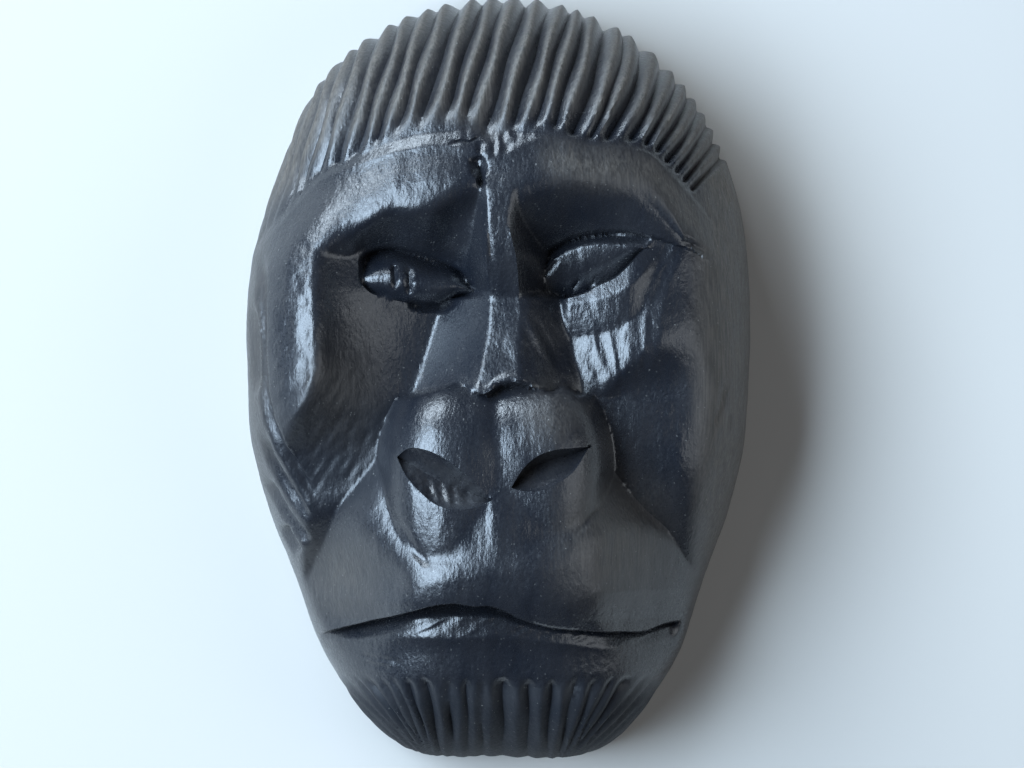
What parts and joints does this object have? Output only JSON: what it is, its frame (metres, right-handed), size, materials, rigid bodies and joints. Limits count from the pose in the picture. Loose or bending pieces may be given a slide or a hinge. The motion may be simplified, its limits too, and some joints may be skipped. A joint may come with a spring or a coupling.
{
  "type": "carved mask",
  "caption": "Small carved wooden gorilla mask with fluted hair, a heavy brow, sunken cheeks, wide nostrils and a fluted beard, on a flat hollowed back.",
  "frame": {"origin": "middle of the back's bounding box, on the table the mask lies on", "axes": "+Z out of the face, +Y towards the hair, +X to the right of someone who looks at the face"},
  "size_m": [0.0762, 0.116, 0.0413],
  "materials": {
    "stained_wood": "satin black stain, rubbed thin on the edges"
  },
  "bodies": {
    "root": {"gorilla_mask": "stained_wood"}
  },
  "joints": []
}
